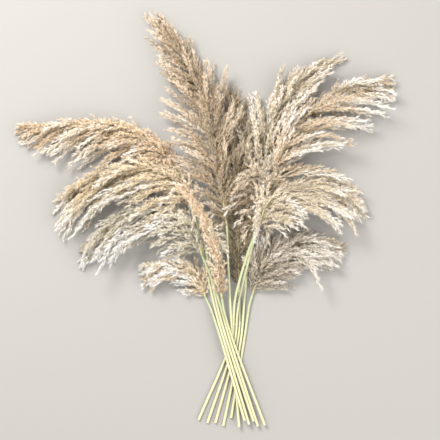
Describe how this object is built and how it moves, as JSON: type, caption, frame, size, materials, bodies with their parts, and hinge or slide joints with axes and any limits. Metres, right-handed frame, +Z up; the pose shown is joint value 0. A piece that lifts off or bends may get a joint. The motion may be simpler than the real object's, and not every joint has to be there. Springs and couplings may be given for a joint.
{
  "type": "bundle of pampas grass",
  "caption": "Loose bunch of dried pampas grass lying flat: cut straw-coloured culms crossed near their ends, fanning out into silky, one-sided, drooping cream and gold plumes.",
  "frame": {"origin": "on the surface that the bunch lies on, under the centre of its outline", "axes": "+Y from the cut ends towards the tallest plume, +X to the right as seen from above, +Z up from the surface"},
  "size_m": [0.7616, 0.8354, 0.0825],
  "materials": {
    "dried_culm": "smooth dried grass culm, straw to pale green, faint lengthwise grooves, satin",
    "cream_plume": "dry silky plume hair, cream to near white at the tips, tan inside, matt",
    "golden_plume": "dry silky plume hair, golden tan inside, cream at the tips, matt",
    "olive_plume": "dry silky plume hair, olive brown inside, beige at the tips, matt"
  },
  "bodies": {
    "root": {"stem_far_left": "dried_culm", "plume_far_left": "golden_plume", "stem_left_fan": "dried_culm", "plume_left_fan": "golden_plume", "stem_left_drooping": "dried_culm", "plume_left_drooping": "cream_plume", "stem_low_left": "dried_culm", "plume_low_left": "golden_plume", "stem_front_narrow": "dried_culm", "plume_front_narrow": "golden_plume", "stem_tall_centre": "dried_culm", "plume_tall_centre": "cream_plume", "stem_back_centre": "dried_culm", "plume_back_centre": "olive_plume", "stem_upper_right": "dried_culm", "plume_upper_right": "cream_plume", "stem_right_fan": "dried_culm", "plume_right_fan": "golden_plume", "stem_right_drooping": "dried_culm", "plume_right_drooping": "cream_plume", "stem_low_right": "dried_culm", "plume_low_right": "cream_plume"}
  },
  "joints": []
}
